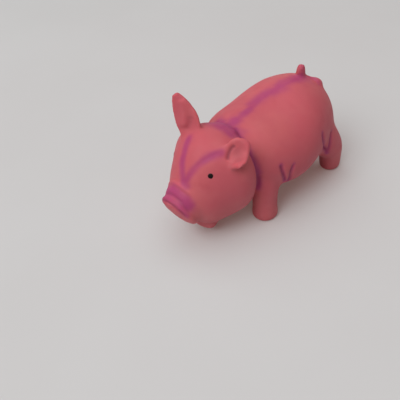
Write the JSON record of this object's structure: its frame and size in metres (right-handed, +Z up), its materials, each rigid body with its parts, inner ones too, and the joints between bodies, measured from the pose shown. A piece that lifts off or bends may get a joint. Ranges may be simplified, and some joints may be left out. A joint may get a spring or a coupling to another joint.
{
  "type": "squeaky pig dog toy",
  "caption": "Soft hollow latex pig that stands on its legs, with a reed voice unit in its belly that squeaks when the body is squeezed.",
  "frame": {"origin": "on the floor, under the middle of the pig's outer box", "axes": "+Z up, the pig faces -Y, its left side is +X"},
  "size_m": [0.0822, 0.158, 0.1028],
  "materials": {
    "latex": "matte pink latex with airbrushed purple lines",
    "eye_paint": "black paint",
    "housing_plastic": "moulded ivory plastic",
    "block_plastic": "moulded plastic",
    "reed_plastic": "thin film",
    "wedge_plastic": "moulded plastic",
    "fibre": "loose white wadding"
  },
  "bodies": {
    "skin": {"latex_body": "latex", "left_eye": "eye_paint", "right_eye": "eye_paint", "fibre_filling": "fibre"},
    "voice_unit": {"voice_housing": "housing_plastic", "reed_block": "block_plastic", "reed_wedge": "wedge_plastic"},
    "reed_tongue": {"reed": "reed_plastic"}
  },
  "joints": [
    {"name": "squeeze", "type": "slide", "parent": "skin", "child": "voice_unit", "axis": [0, 0, -1], "range_m": [0, 0.00294], "stiffness_N_per_m": 900, "deforming": ["latex_body", "fibre_filling"]},
    {"name": "reed_flutter", "type": "hinge", "parent": "voice_unit", "child": "reed_tongue", "pos_m": [0, 0.02126, 0.0288], "axis": [-1, 0, 0], "range_deg": [-1, 3], "stiffness_Nm_per_rad": 0.002}
  ]
}
